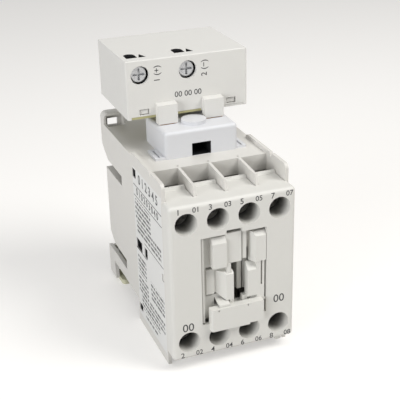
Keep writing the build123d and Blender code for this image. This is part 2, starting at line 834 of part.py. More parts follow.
with BuildPart() as armature_pin:
    with Locations((0, at(armature_depth - pin_setback), centre_z)):
        Cylinder(pin_radius, 2 * carrier_plate_half_width, rotation=(0, 90, 0))
save(armature_pin, "armature_pin")

with BuildPart() as armature:
    block((-armature_half_width, armature_half_width), (armature_depth, armature_depth + armature_thickness),
          (centre_z - magnet_half_height, centre_z + magnet_half_height))
    fillet(armature.edges().filter_by(Axis.Z), armature_rounding)
save(armature, "armature")

with BuildPart() as contact_bridges:
    for pole in poles:
        block((pole - bridge_width / 2, pole + bridge_width / 2), (bridge_front_depth, bridge_rear_depth),
              (centre_z - bridge_half_length, centre_z + bridge_half_length))
    fillet(contact_bridges.edges().filter_by(Axis.Y), bridge_rounding)
save(contact_bridges, "contact_bridges")

with BuildPart() as moving_tips:
    for pole in poles:
        for side in (1, -1):
            rod(pole, centre_z + side * tip_rise, tip_radius,
                (bridge_rear_depth, bridge_rear_depth + tip_thickness))
save(moving_tips, "moving_contact_tips")

contact_spring = coil_spring(contact_spring_radius, contact_spring_wire, spring_space)
with BuildPart() as contact_springs:
    for pole in poles:
        add(contact_spring.moved(Location((pole, at(bridge_front_depth), centre_z), (90, 0, 0))))
save(contact_springs, "contact_springs")

# Electromagnet: laminated core, cushions behind it, bobbin and winding round the centre leg
neck_span = (flange_front + bobbin_flange - neck_thickness, flange_front + bobbin_flange)
magnet_z = (centre_z - magnet_half_height, centre_z + magnet_half_height)
with BuildPart() as magnet_core:
    block((-armature_half_width, armature_half_width), (yoke_depth, core_rear_depth), magnet_z)
    block((-centre_leg_half_width, centre_leg_half_width), (core_front_depth, yoke_depth + 1), magnet_z)
    for side in (1, -1):
        leg_span = sorted((side * armature_half_width, side * (armature_half_width - pole_leg_width)))
        block(leg_span, (core_front_depth, yoke_depth + 1), magnet_z)
save(magnet_core, "magnet_core")

with BuildPart() as core_cushions:
    for side in (1, -1):
        cushion = side * (armature_half_width - cushion_width / 2)
        block((cushion - cushion_width / 2, cushion + cushion_width / 2),
              (core_rear_depth, cavity_rear_depth),
              magnet_z)
    fillet(core_cushions.edges().filter_by(Axis.Y), cushion_rounding)
save(core_cushions, "core_cushions")

tube_half_x = centre_leg_half_width + fit_gap + bobbin_wall
tube_half_z = magnet_half_height + fit_gap + bobbin_wall
with BuildPart() as coil_bobbin:
    for flange_span in ((flange_front, flange_front + bobbin_flange),
                        (flange_rear - bobbin_flange, flange_rear)):
        block((-bobbin_half_width, bobbin_half_width), flange_span,
              (centre_z - bobbin_half_height, centre_z + bobbin_half_height))
    fillet(coil_bobbin.edges().filter_by(Axis.Y), bobbin_rounding)
    block((-tube_half_x, tube_half_x), (flange_front, flange_rear),
          (centre_z - tube_half_z, centre_z + tube_half_z))
    block((-tube_half_x + bobbin_wall, tube_half_x - bobbin_wall), (flange_front - 1, flange_rear + 1),
          (centre_z - tube_half_z + bobbin_wall, centre_z + tube_half_z - bobbin_wall), Mode.SUBTRACT)
save(coil_bobbin, "coil_bobbin")

with BuildPart() as coil_winding:
    winding_span = (flange_front + bobbin_flange, flange_rear - bobbin_flange)
    block((-bobbin_half_width + winding_clearance, bobbin_half_width - winding_clearance), winding_span,
          (centre_z - bobbin_half_height + winding_clearance,
           centre_z + bobbin_half_height - winding_clearance))
    fillet(coil_winding.edges().filter_by(Axis.Y), winding_rounding)
    block((-tube_half_x, tube_half_x), winding_span, (centre_z - tube_half_z, centre_z + tube_half_z),
          Mode.SUBTRACT)
save(coil_winding, "coil_winding")

return_spring = coil_spring(return_spring_radius, return_spring_wire, flange_front - armature_depth)
with BuildPart() as return_springs:
    for side in (1, -1):
        add(return_spring.moved(Location((0, at(flange_front), centre_z + side * return_spring_rise),
                                         (90, 0, 0))))
save(return_springs, "return_springs")

# Rear base: one side outline run across the full width, hollowed for the magnet from the front
seat_low_z, seat_high_z = lower_slot_high, upper_slot_low
upper_curve_depth = rail_face_depth - upper_curve_length
with BuildPart() as base_frame:
    rear_shape = [
        (housing_rear_depth, base_lower_edge),
        (slot_front_depth + slot_step, base_lower_edge),
        (slot_front_depth + slot_step, lower_slot_low - slot_step_drop),
        (slot_front_depth, lower_slot_low - slot_step_drop),
        (slot_front_depth, lower_slot_high),
        (foot_front_depth - 1, lower_slot_high),
        (rail_seat_depth, lower_slot_high + seat_slope_rise),
        (rail_seat_depth, upper_slot_low),
        (slot_front_depth, upper_slot_low),
        (slot_front_depth, upper_slot_high),
        (upper_curve_depth, upper_slot_high),
        (rail_face_depth, upper_slot_high + upper_curve_rise),
        (rail_face_depth, deck_height),
        (housing_rear_depth, deck_height),
    ]
    rear_rounds = [
        ((foot_front_depth - 1, lower_slot_high), rear_rounding),
        ((upper_curve_depth, upper_slot_high), upper_curve_rounding),
        ((rail_face_depth, upper_slot_high + upper_curve_rise), rear_rounding),
    ]
    extrude(side_outline(rear_shape, -half_width, rear_rounds), amount=body_width)
    # legs of the foot, one at each side
    leg_shape = [
        (slot_front_depth - 1, base_lower_edge),
        (foot_front_depth + leg_step, base_lower_edge - leg_skew),
        (foot_front_depth, foot_bottom + leg_toe),
        (foot_front_depth, foot_bottom),
        (rail_face_depth, foot_bottom),
        (rail_face_depth, foot_top),
        (foot_front_depth + leg_step, lower_slot_low),
        (slot_front_depth - 1, lower_slot_low),
    ]
    for leg_x in (-half_width, half_width - foot_wall):
        extrude(side_outline(leg_shape, leg_x, [((rail_face_depth, foot_bottom), leg_rounding)]),
                amount=foot_wall)
    bar_z = (foot_bottom + foot_bar_lift, foot_top - foot_bar_drop)
    block((-half_width + foot_bar_inset, half_width - foot_bar_inset),
          (foot_bar_front_depth, rail_face_depth), bar_z)
    block((-latch_window_half_width + tongue_inset, latch_window_half_width - tongue_inset),
          (foot_front_depth + tongue_inset, foot_bar_front_depth + foot_bar_inset),
          (foot_bottom + foot_bar_lift, foot_bottom + foot_bar_lift + tongue_height))
    # guides that keep the rail latch against the bar
    guide_rib_z = (base_lower_edge + guide_rib_low, lower_slot_low - guide_rib_high)
    for side in (1, -1):
        guide_in = side * (latch_half_width + slide_gap)
        block(sorted((guide_in, guide_in + side * guide_rib)),
              (slot_front_depth + guide_rib_setback, latch_plate_depth + latch_plate_thickness),
              guide_rib_z)
        block(sorted((guide_in, side * (half_width - foot_bar_inset))),
              (latch_plate_depth, latch_plate_depth + latch_plate_thickness), guide_rib_z)
    # rail hooks under the upper slot
    for side in (1, -1):
        hook_x = sorted((side * rail_hook_x[0], side * rail_hook_x[1]))
        block(hook_x, (rail_seat_depth + rail_flange + rail_gap, rail_face_depth - rail_hook_setback),
              (upper_slot_high - rail_hook_drop, upper_slot_high + rail_hook_root))
    # hollow for the magnet
    block((-inner_half, inner_half), (housing_rear_depth - 1, slot_front_depth - deck_wall),
          (base_lower_edge + deck_wall, deck_height - deck_wall), Mode.SUBTRACT)
    block((-inner_half, inner_half), (slot_front_depth - deck_wall - 1, cavity_rear_depth),
          (seat_low_z + deck_wall, seat_high_z - deck_wall), Mode.SUBTRACT)
    block((-inner_half, inner_half), (slot_front_depth - deck_wall - 1, ear_front_depth - ear_root),
          (upper_slot_high + deck_wall, deck_height - deck_wall), Mode.SUBTRACT)
    # opening in the deck for the coil's neck
    block((-neck_half_width - fit_gap, neck_half_width + fit_gap),
          (neck_span[0] - fit_gap, neck_span[1] + fit_gap),
          (deck_height - deck_wall - 1, deck_height + 1), Mode.SUBTRACT)
    # mounting ears at the upper rear corners
    for side in (1, -1):
        ear_x = sorted((side * half_width, side * (half_width - ear_width)))
        ear_span = (ear_x[0], ear_x[1])
        with BuildSketch(face_plane(ear_front_depth)):
            with Locations(((ear_x[0] + ear_x[1]) / 2, (ear_floor_height + ear_height) / 2)):
                Rectangle(ear_width, ear_height - ear_floor_height)
        extrude(amount=-(rail_face_depth - ear_front_depth))
        corner_edges = base_frame.edges().filter_by(Axis.Y)
        ear_middle = at((ear_front_depth + rail_face_depth) / 2)
        fillet(corner_edges.sort_by_distance((side * half_width, ear_middle, ear_height))[0], ear_corner)
        block((ear_x[0] + ear_rim, ear_x[1] - ear_rim),
              (ear_front_depth - ear_hollow_run, rail_face_depth - ear_plate),
              (ear_floor_height + ear_floor_skin, ear_height - ear_rim), Mode.SUBTRACT)
        window_x = side * (half_width - ear_width / 2)
        block((window_x - ear_window_width / 2, window_x + ear_window_width / 2),
              (ear_front_depth, rail_face_depth + 1),
              (ear_window_centre - ear_window_height / 2,
               ear_window_centre + ear_window_height / 2), Mode.SUBTRACT)
save(base_frame, "base_frame")

# Rail latch: a sliding plate with a nose behind the rail's lower edge and a pull bar below
latch_nose_low = lower_slot_low + latch_nose_rise
with BuildPart() as rail_latch:
    block((-latch_half_width, latch_half_width), (latch_plate_depth,
                                                  latch_plate_depth + latch_plate_thickness),
          (0, latch_nose_low + latch_nose_thickness))
    block((-half_width + foot_wall + fit_gap, half_width - foot_wall - fit_gap),
          (latch_bar_depth, foot_bar_front_depth - latch_bar_gap), (0, foot_bottom + latch_bar_overlap))
    fillet(rail_latch.edges().filter_by(Axis.Z).sort_by(Axis.Y)[:2], latch_bar_rounding)
    nose = [
        (latch_plate_depth, latch_nose_low),
        (foot_bar_front_depth - nose_gap, latch_nose_low),
        (foot_bar_front_depth - nose_gap, latch_nose_low + latch_nose_thickness + nose_shoulder),
        (foot_bar_front_depth - nose_lean, latch_nose_low + latch_nose_thickness + nose_lip),
        (rail_seat_depth + rail_flange + rail_gap, latch_nose_low + latch_nose_thickness + nose_lip),
        (rail_seat_depth + rail_flange + rail_gap, latch_nose_low + latch_nose_thickness),
        (latch_plate_depth, latch_nose_low + latch_nose_thickness),
    ]
    extrude(side_outline(nose, -latch_half_width), amount=2 * latch_half_width)
    block((-latch_window_half_width, latch_window_half_width),
          (latch_bar_depth + latch_bar_wall, foot_bar_front_depth),
          (-1, latch_window_top), Mode.SUBTRACT)
save(rail_latch, "rail_latch")

tongue_top = foot_bottom + foot_bar_lift + tongue_height
latch_spring = coil_spring(latch_spring_radius, latch_spring_wire, latch_window_top - tongue_top)
with BuildPart() as latch_springs:
    add(latch_spring.moved(Location((0, at(latch_plate_depth + latch_plate_thickness / 2), tongue_top))))
save(latch_springs, "rail_latch_spring")

# Coil terminal block on the deck, with its neck down to the bobbin
tab_spans = [(-tab_inner_left - tab_width, -tab_inner_left), (tab_inner_right, tab_inner_right + tab_width)]
prong_centres = [(low + high) / 2 for low, high in tab_spans]
slot_half = prong_width / 2 + prong_slot_gap
prong_floor = block_top - prong_reach - prong_slot_floor
with BuildPart() as coil_terminal_block:
    block((block_left, block_right), (block_front_depth, block_rear_depth), (deck_height, block_top))
    fillet(coil_terminal_block.edges().filter_by(Axis.Z).sort_by(Axis.Y)[:2], block_rounding)
    fillet(coil_terminal_block.faces().sort_by(Axis.Z)[-1].edges().sort_by(Axis.Y)[0], block_rounding)
    for side, block_side in ((1, block_right), (-1, block_left)):
        flange_x = sorted((block_side - side, block_side + side * flange_width))
        block(flange_x, (block_front_depth + flange_setback_front, flange_rear_depth),
              (deck_height, deck_height + flange_height))
        groove = block_side + side * flange_groove_place
        block((groove - flange_groove_width / 2, groove + flange_groove_width / 2),
              (block_front_depth + flange_groove_inset, flange_rear_depth - flange_groove_inset),
              (deck_height + flange_groove_floor, deck_height + flange_height + 1), Mode.SUBTRACT)
    block((block_window_shift - block_window_width / 2, block_window_shift + block_window_width / 2),
          (block_front_depth - 1, block_front_depth + block_window_depth),
          (deck_height + block_window_sill,
           deck_height + block_window_sill + block_window_height), Mode.SUBTRACT)
    with BuildSketch(Plane.XY.offset(block_top)):
        with Locations((block_window_shift, at(hump_depth))):
            Circle(hump_radius)
    extrude(amount=hump_height)
    for centre in prong_centres:
        block((centre - slot_half, centre + slot_half),
              (prong_depth - prong_slot_half_depth, prong_depth + prong_slot_half_depth),
              (prong_floor, block_top + 1), Mode.SUBTRACT)
    block((-neck_half_width, neck_half_width), neck_span, (centre_z + bobbin_half_height, deck_height + 1))
save(coil_terminal_block, "coil_terminal_block")

with BuildPart() as coil_terminals:
    leaf_inner = prong_thickness / 2 + leaf_gap
    leaf_outer = leaf_inner + leaf_thickness
    for centre in prong_centres:
        block((centre - prong_width / 2, centre + prong_width / 2),
              (prong_depth - leaf_outer, prong_depth + leaf_outer),
              (prong_floor, block_top - 2 * leaf_thickness))
        block((centre - prong_width, centre + prong_width),
              (prong_depth - leaf_inner, prong_depth + leaf_inner),
              (prong_floor + leaf_thickness, block_top), Mode.SUBTRACT)
save(coil_terminals, "coil_terminals")

# Interface module: a five-sided shell, closed below by a base plate
module_top = module_bottom + module_height
module_screws = [module_screw_left, module_screw_left + module_screw_spacing]
module_inner = (module_front_depth + module_wall, module_rear_depth - module_wall)
base_top = module_bottom + module_base_thickness
front_wall = (module_front_depth - 1, module_inner[0] + 1)
snap_z = (base_top + snap_window_rise, base_top + snap_window_rise + snap_window_height)
with BuildPart() as module_housing:
    block((-module_half, module_half), (module_front_depth, module_rear_depth), (module_bottom, module_top))
    fillet(module_housing.edges().filter_by(Axis.Z), module_corner)
    fillet(module_housing.faces().sort_by(Axis.Z)[-1].edges(), module_rim)
    block((-module_half + module_wall, module_half - module_wall), module_inner,
          (module_bottom - 1, module_top - module_wall), Mode.SUBTRACT)
    block((-module_half + module_wall, module_half - module_wall), front_wall,
          (module_bottom - 1, base_top), Mode.SUBTRACT)
    for screw_x in module_screws:
        rod(screw_x, module_screw_height, module_hole_radius, front_wall, mode=Mode.SUBTRACT)
        slot_x = screw_x - wire_slot_shift
        slot_straight = wire_slot_length - wire_slot_width / 2
        with BuildSketch(Plane.XY.offset(module_top - module_wall - 1)):
            with Locations((slot_x, at(wire_slot_depth + slot_straight / 2))):
                Rectangle(wire_slot_width, slot_straight)
            with Locations((slot_x, at(wire_slot_depth + slot_straight))):
                Circle(wire_slot_width / 2)
        extrude(amount=module_wall + 2, mode=Mode.SUBTRACT)
        key_x = slot_x + key_notch_shift
        triangle = [
            (key_x - key_notch_width / 2, at(wire_slot_depth)),
            (key_x + key_notch_width / 2, at(wire_slot_depth)),
            (key_x, at(wire_slot_depth + key_notch_length)),
        ]
        extrude(outline(triangle, Plane.XY.offset(module_top - module_wall - 1)), amount=module_wall + 2,
                mode=Mode.SUBTRACT)
    for side in (1, -1):
        window_x = side * snap_window_shift
        block((window_x - snap_window_width / 2, window_x + snap_window_width / 2), front_wall, snap_z,
              Mode.SUBTRACT)
save(module_housing, "module_housing")

with BuildPart() as module_base:
    base_half = module_half - module_wall - base_gap
    block((-base_half, base_half), (module_front_depth + base_gap, module_inner[1] - base_gap),
          (module_bottom, base_top))
    for side in (1, -1):
        window_x = side * snap_window_shift
        hook_x = (window_x - snap_window_width / 2 + snap_hook_gap,
                  window_x + snap_window_width / 2 - snap_hook_gap)
        block(hook_x, (module_inner[0] + base_gap, module_inner[0] + snap_hook_thickness),
              (module_bottom, snap_z[1]))
        block(hook_x, (module_front_depth + snap_hook_inset, module_inner[0] + snap_hook_thickness),
              (snap_z[0] + snap_hook_gap, snap_z[1] - snap_hook_gap))
save(module_base, "module_base")

board_depth = (module_inner[0] + board_front_gap, module_inner[1] - board_rear_gap)
board_half = module_half - module_wall - board_side_gap
with BuildPart() as module_board:
    block((-board_half, board_half), board_depth, (base_top, base_top + board_thickness))
save(module_board, "module_board")

with BuildPart() as module_choke:
    choke_z = base_top + board_thickness + choke_height / 2
    with Locations((choke_x, at((board_depth[0] + board_depth[1]) / 2), choke_z)):
        Cylinder(choke_radius, choke_height)
        Cylinder(choke_bore, choke_height + 1, mode=Mode.SUBTRACT)
save(module_choke, "module_choke")

with BuildPart() as module_tabs:
    tab = [
        (module_front_depth, tab_low),
        (module_front_depth, tab_top),
        (module_front_depth - tab_slope, tab_top),
        (tab_depth, tab_top - tab_slope),
        (tab_depth, tab_low),
    ]
    for low, high in tab_spans:
        extrude(side_outline(tab, low), amount=high - low)
save(module_tabs, "module_tabs")

with BuildPart() as module_prongs:
    for centre in prong_centres:
        shoulder_half = prong_width / 2 + prong_shoulder
        block((centre - shoulder_half, centre + shoulder_half),
              (tab_depth + base_gap, module_front_depth - base_gap),
              (block_top, tab_low))
        block((centre - prong_width / 2, centre + prong_width / 2),
              (prong_depth - prong_thickness / 2, prong_depth + prong_thickness / 2),
              (block_top - prong_reach, tab_low))
save(module_prongs, "module_prongs")

# Module terminals: screw, clamp and a fixed plate behind the wire space
module_head_depth = module_front_depth + module_head_recess
module_clamp_depth = module_head_depth + module_head_height
module_plate_depth = wire_slot_depth + wire_slot_length + fit_gap
for number, screw_x in enumerate(module_screws, start=1):
    with BuildPart() as screw:
        cross_head_screw(screw_x, module_screw_height, module_head_depth, module_head_radius,
                         module_head_height,
                         module_shank_length)
    save(screw, f"module_screw_{number}")
    with BuildPart() as clamp:
        block((screw_x - module_clamp_half_width, screw_x + module_clamp_half_width),
              (module_clamp_depth, module_clamp_depth + module_clamp_thickness), module_clamp_z)
        rod(screw_x, module_screw_height, screw_shank_radius + clamp_bore_gap,
            (module_clamp_depth - 1, module_clamp_depth + 2 * module_clamp_thickness), mode=Mode.SUBTRACT)
    save(clamp, f"module_clamp_{number}")

with BuildPart() as module_terminals:
    for screw_x in module_screws:
        block((screw_x - module_plate_half_width, screw_x + module_plate_half_width),
              (module_plate_depth, module_plate_depth + module_plate_thickness),
              (base_top + board_thickness, module_top - module_wall - guide_gap))
        rod(screw_x, module_screw_height, screw_shank_radius + thread_clearance,
            (module_plate_depth - 1, module_plate_depth + 2 * module_plate_thickness), mode=Mode.SUBTRACT)
save(module_terminals, "module_terminals")

# Side label, set flush into the left end wall
with BuildPart() as side_label:
    extrude(side_outline(label_shape, -half_width), amount=label_thickness)
    for depth_span, z_span in side_windows:
        block((-half_width - 1, -inner_half), depth_span, z_span, Mode.SUBTRACT)
save(side_label, "side_label")
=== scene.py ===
import math

import bpy
from bpy.props import FloatProperty, FloatVectorProperty, IntProperty, PointerProperty
from mathutils import Matrix, Vector


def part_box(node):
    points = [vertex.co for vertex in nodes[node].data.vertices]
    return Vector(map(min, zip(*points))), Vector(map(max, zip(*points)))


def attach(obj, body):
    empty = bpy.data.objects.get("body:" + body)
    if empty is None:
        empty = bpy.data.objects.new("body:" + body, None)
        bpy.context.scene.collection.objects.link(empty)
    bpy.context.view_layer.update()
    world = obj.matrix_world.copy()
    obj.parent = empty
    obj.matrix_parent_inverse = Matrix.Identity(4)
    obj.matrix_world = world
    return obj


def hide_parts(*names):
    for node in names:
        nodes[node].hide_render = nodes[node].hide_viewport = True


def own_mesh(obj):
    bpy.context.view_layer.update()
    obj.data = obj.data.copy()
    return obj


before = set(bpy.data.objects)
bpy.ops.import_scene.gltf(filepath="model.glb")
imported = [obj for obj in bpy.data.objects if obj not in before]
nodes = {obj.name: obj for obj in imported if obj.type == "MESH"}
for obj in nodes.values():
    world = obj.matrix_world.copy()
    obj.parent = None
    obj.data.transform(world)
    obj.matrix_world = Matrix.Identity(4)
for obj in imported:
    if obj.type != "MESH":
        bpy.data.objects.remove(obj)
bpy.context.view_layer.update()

bl_info = {
    "name": "Four-pole contactor finish",
    "version": (1, 0, 0),
    "blender": (4, 5, 0),
    "location": "3D Viewport > Sidebar > Contactor",
    "description": "Plastics, metals, marks and springs for a contactor with a coil interface module",
    "category": "Object",
}

MM = 0.001


def srgb(red, green, blue):
    """Scene colour from the 0 to 255 values seen on screen."""
    def channel(value):
        value /= 255
        return value / 12.92 if value <= 0.04045 else ((value + 0.055) / 1.055) ** 2.4
    return (channel(red), channel(green), channel(blue))


def centre_of(node):
    low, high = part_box(node)
    return [(a + b) / 2 for a, b in zip(low, high)]


# Patterns of the surface groups; a scale is cells to the metre, and the rest are shares

DRIFT_SCALE = 55.0
FLOW_SCALE = 420.0
FLOW_TONE = 0.025
FLOW_GLOSS = 0.22
FLOW_HEIGHT = 0.3
GRAIN_HEIGHT = 0.7
STREAK_SCALE = 2600.0
STREAK_STRETCH = 0.25
STREAK_GLOSS = 0.35
SPOT_SCALE = 900.0
SPOT_TONE = 0.18

# Painted shade, with SHADOW as its colour, in millimetres from the low corner of the piece's box; the side
# windows count from the left wall's, and their depth from the outer face of either wall

SHADOW = srgb(34, 34, 36)
# painted shade inside the front window of the coil terminal block
BLOCK_WINDOW_SHADE = {"X": (13.0, 20.4), "Y": (0.1, 12.25), "Z": (20.35, 25.25)}
# painted shade behind the windows of both side walls
SIDE_WINDOW_SHADES = (
    {"Y": (28.35, 32.25), "Z": (58.95, 62.35)},
    {"Y": (24.85, 31.35), "Z": (31.45, 35.55)},
    {"Y": (18.75, 22.05), "Z": (31.65, 35.65)},
    {"Y": (27.95, 31.85), "Z": (5.25, 8.15)},
)
SIDE_WINDOW_SHADE_DEPTH = (0.3, 4.5)
# painted shade inside the module's shell
MODULE_INSIDE_SHADE = {"X": (1.2, 43.6), "Y": (1.35, 33.35), "Z": (-1.5, 20.7)}

# Painted shade in the driver holes of the cover, in millimetres: X and Z are distances from a hole's axis,
# so their low end is open, and Y is the depth behind the front face

DRIVER_HOLE_SHADE = {"X": (-1.0, 3.95), "Y": (0.15, 15.15), "Z": (-1.0, 3.95)}
DRIVER_SHADE_START = 1.55
DRIVER_SHADE_LENGTH = 7.5
DRIVER_SHADE = 0.92

# Grey stretches of the module's olive closing plate, in millimetres from the low corner of its box

GREY_FROM_X = 25.65
GREY_FROM_Z = 0.95

# Print on the side label, in millimetres from the low corner of its box; a rule has its height and its span
# along the label, and rows of print repeat by the pitch, which they fill by a share

RULE_WIDTH = 0.36
RULES = ((52.7, (0.25, 30.65)), (48.6, (0.25, 30.65)), (33.3, (0.25, 20.75)), (27.7, (18.75, 30.65)))
PRINT_AREAS = (
    {"Y": (12.65, 29.75), "Z": (39.9, 47.7)},
    {"Y": (2.15, 28.75), "Z": (34.9, 39.5)},
    {"Y": (20.15, 29.55), "Z": (18.1, 25.9)},
    {"Y": (18.75, 29.75), "Z": (10.3, 16.7)},
    {"Y": (0.95, 15.55), "Z": (13.5, 21.1)},
    {"Y": (6.65, 27.15), "Z": (4.1, 9.9)},
    {"Y": (1.15, 17.55), "Z": (6.9, 11.9)},
    {"Y": (9.15, 23.35), "Z": (1.5, 2.7)},
)
PRINT_PITCH = 1.75
PRINT_FILL = 0.56
PRINT_GAP_LEVEL = 0.43
PRINT_STRENGTH = 0.97

# Marks: places in millimetres, sizes as shares of the mark height. A pole number has what stands before it,
# its place from the pole's middle and its size. A cover sign has its share of the width and its height. A
# label sign has its text, its place along and up the label, and its size

ROW_ABOVE_SCREWS = 4.7
ROW_BELOW_SCREWS = 4.9
POLE_NUMBERS = (("", -2.6, 1.0), ("0", 3.5, 0.92))
COVER_SIGNS = ((0.125, 13.6), (0.87, 17.6))
COVER_SIGN_SIZE = 1.5
LABEL_SIGNS = (("0 1 2 3 4 5", 14.15, 56.5, 1.7), ("0 1 0 2 0 3 0 4 0", 15.65, 50.9, 1.25))
POLE_SIGNS = ("1 (+)", "2 (−)")
POLE_SIGN_OFFSET = 6.1
POLE_SIGN_SIZE = 1.05
MODULE_TEXT_HEIGHT = 7.1
FONT_SIZE = 1.42
FONT_CURVES = 4
INK_SPREAD = 0.02
SIDE_INK_SPREAD = 0.09

# Springs

WIRE_SIDES = 10
STEPS_A_TURN = 20
WIRE_SMOOTHING = 50

# Stage, in metres and watts; the camera comes from a perspective fit of the photograph

WORLD_COLOUR = (1.0, 0.995, 0.985, 1)
WORLD_FILL = 0.15
WORLD_SHOWN = 0.72
FLOOR_SIZE = 4
FLOOR_LIFT = 0.40
FLOOR_LIFT_COLOUR = (1.0, 0.985, 0.965, 1)
LAMPS = (
    ("key_lamp", (0.42, -0.36, 0.68), 0.45, 5.0, (1.0, 0.985, 0.96)),
    ("fill_lamp", (-0.80, -0.42, 0.26), 0.6, 5.6, (0.98, 0.985, 1.0)),
    ("top_lamp", (-0.05, -0.02, 0.75), 0.6, 1.5, (1.0, 1.0, 1.0)),
)
LAMP_TARGET = (0, 0, 0.05)
CAMERA_PLACE = (-0.10469, -0.28745, 0.18312)
CAMERA_RIGHT = (0.93208, -0.36165, -0.02071)
CAMERA_DOWN = (-0.16707, -0.37846, -0.91042)
CAMERA_SHIFT = (-0.0074, 0.0065)
CAMERA_CLIP = (0.01, 20)
SENSOR_WIDTH = 36


# Sizes and colours that a user would change

def colour_property(name, description, default):
    return FloatVectorProperty(name=name, description=description, default=default, subtype="COLOR",
                               min=0, max=1, size=3)


class MouldingSettings(bpy.types.PropertyGroup):
    housing: colour_property("Housing", "Warm light grey of the housing, ribs and base", srgb(212, 210, 205))
    cover: colour_property("Cover", "Slightly lighter grey of the front cover", srgb(215, 214, 209))
    module: colour_property("Module", "Grey of the interface module", srgb(216, 215, 211))
    block: colour_property("Terminal block", "Cool white of the coil terminal block", srgb(212, 213, 216))
    latch: colour_property("Latch", "Cream of the rail latch", srgb(206, 205, 178))
    module_floor: colour_property("Module floor", "Olive of the module's closing plate", srgb(176, 172, 128))
    bobbin: colour_property("Bobbin", "Black of the bobbin and the choke", srgb(46, 46, 48))
    rubber: colour_property("Rubber", "Black of the cushions under the core", srgb(32, 32, 33))
    board: colour_property("Board", "Green of the circuit board", srgb(62, 104, 70))
    film: colour_property("Film", "White of the side label", srgb(219, 219, 217))
    roughness: FloatProperty(name="Roughness", description="Roughness of the matt mouldings", default=0.46,
                             min=0, max=1, subtype="FACTOR")
    grain_size: FloatProperty(name="Grain size", description="Width of the moulded grain", default=0.22 * MM,
                              unit="LENGTH", precision=5)


class MetalSettings(bpy.types.PropertyGroup):
    zinc: colour_property("Zinc", "Bright plating of screws and clamps", srgb(205, 206, 208))
    copper: colour_property("Copper alloy", "Stamped sockets and prongs", srgb(205, 146, 104))
    tinned: colour_property("Tinned copper", "Terminal strips and contact bridges", srgb(176, 172, 164))
    silver: colour_property("Contact silver", "Contact tips", srgb(222, 220, 214))
    sheet: colour_property("Magnet sheet", "Stacked magnet laminations", srgb(118, 116, 114))
    winding: colour_property("Winding", "Enamelled copper wire of the coil", srgb(168, 92, 48))


class MarkSettings(bpy.types.PropertyGroup):
    ink: colour_property("Ink", "Printed marks", srgb(62, 62, 64))
    height: FloatProperty(name="Mark height", description="Height of the terminal numbers", default=2.0 * MM,
                          unit="LENGTH", precision=5)
    thickness: FloatProperty(name="Mark thickness", description="How far the ink stands off its surface",
                             default=0.02 * MM, unit="LENGTH", precision=6)
    row_top: FloatProperty(name="Upper row", description="Height of the upper row of numbers",
                           default=centre_of("terminal_screw_1")[2] + ROW_ABOVE_SCREWS * MM,
                           unit="LENGTH", precision=5)
    row_bottom: FloatProperty(name="Lower row", description="Height of the lower row of numbers",
                              default=centre_of("terminal_screw_5")[2] - ROW_BELOW_SCREWS * MM,
                              unit="LENGTH", precision=5)


class SpringSettings(bpy.types.PropertyGroup):
    turns: IntProperty(name="Turns", description="Turns of each spring", default=6, min=2, max=20)
    coil_radius: FloatProperty(name="Coil radius", description="Middle radius of the springs",
                               default=1.45 * MM, unit="LENGTH", precision=5)
    wire: FloatProperty(name="Wire", description="Diameter of the spring wire", default=0.42 * MM,
                        unit="LENGTH", precision=5)


class StageSettings(bpy.types.PropertyGroup):
    floor: colour_property("Floor", "Colour of the floor and backdrop", srgb(212, 211, 209))
    lens: FloatProperty(name="Lens", description="Focal length of the camera", default=82.52, unit="CAMERA")


# Shader nodes

def new_group(name, inputs, outputs):
    group = bpy.data.node_groups.new(name, "ShaderNodeTree")
    for label, kind, default in inputs:
        socket = group.interface.new_socket(name=label, in_out="INPUT", socket_type=kind)
        socket.default_value = default
    for label, kind in outputs:
        group.interface.new_socket(name=label, in_out="OUTPUT", socket_type=kind)
    entry = group.nodes.new("NodeGroupInput")
    leave = group.nodes.new("NodeGroupOutput")
    return group, entry, leave


def add_node(tree, kind, links=(), **values):
    """One node with its settings; links are (input name or index, socket or value)."""
    node = tree.nodes.new(kind)
    for key, value in values.items():
        setattr(node, key, value)
    for target, source in links:
        if isinstance(source, bpy.types.NodeSocket):
            tree.links.new(source, node.inputs[target])
        else:
            node.inputs[target].default_value = source
    return node


def math_node(tree, operation, first, second=0.0, clamp=False):
    node = add_node(tree, "ShaderNodeMath", [(0, first), (1, second)], operation=operation, use_clamp=clamp)
    return node.outputs[0]


def object_point(tree):
    return add_node(tree, "ShaderNodeTexCoord").outputs["Object"]


def axes_of(tree, corner=(0, 0, 0)):
    """The place on the object along each axis, in metres from a corner."""
    place = add_node(tree, "ShaderNodeVectorMath", [(0, object_point(tree)), (1, corner)],
                     operation="SUBTRACT")
    split = add_node(tree, "ShaderNodeSeparateXYZ", [(0, place.outputs[0])])
    return {axis: split.outputs[axis] for axis in "XYZ"}


def within(tree, point, spans):
    """One inside all the spans, which give an axis its low and high end in millimetres."""
    inside = 1.0
    for axis, (low, high) in spans.items():
        for operation, edge in (("GREATER_THAN", low), ("LESS_THAN", high)):
            side = math_node(tree, operation, point[axis], edge * MM)
            inside = math_node(tree, "MULTIPLY", inside, side)
    return inside


def within_any(tree, point, areas):
    """One inside any of the areas."""
    inside = 0.0
    for spans in areas:
        inside = math_node(tree, "MAXIMUM", inside, within(tree, point, spans))
    return inside


def noise(tree, point, scale, detail, roughness=0.5):
    node = add_node(tree, "ShaderNodeTexNoise", [("Vector", point), ("Scale", scale), ("Detail", detail),
                                                 ("Roughness", roughness)])
    return node.outputs["Fac"]


def centred(tree, value):
    """Moves a value between 0 and 1 to lie round 0."""
    return math_node(tree, "SUBTRACT", value, 0.5)


def scaled_colour(tree, colour, factor):
    node = add_node(tree, "ShaderNodeVectorMath", [(0, colour), ("Scale", factor)], operation="SCALE")
    return node.outputs[0]


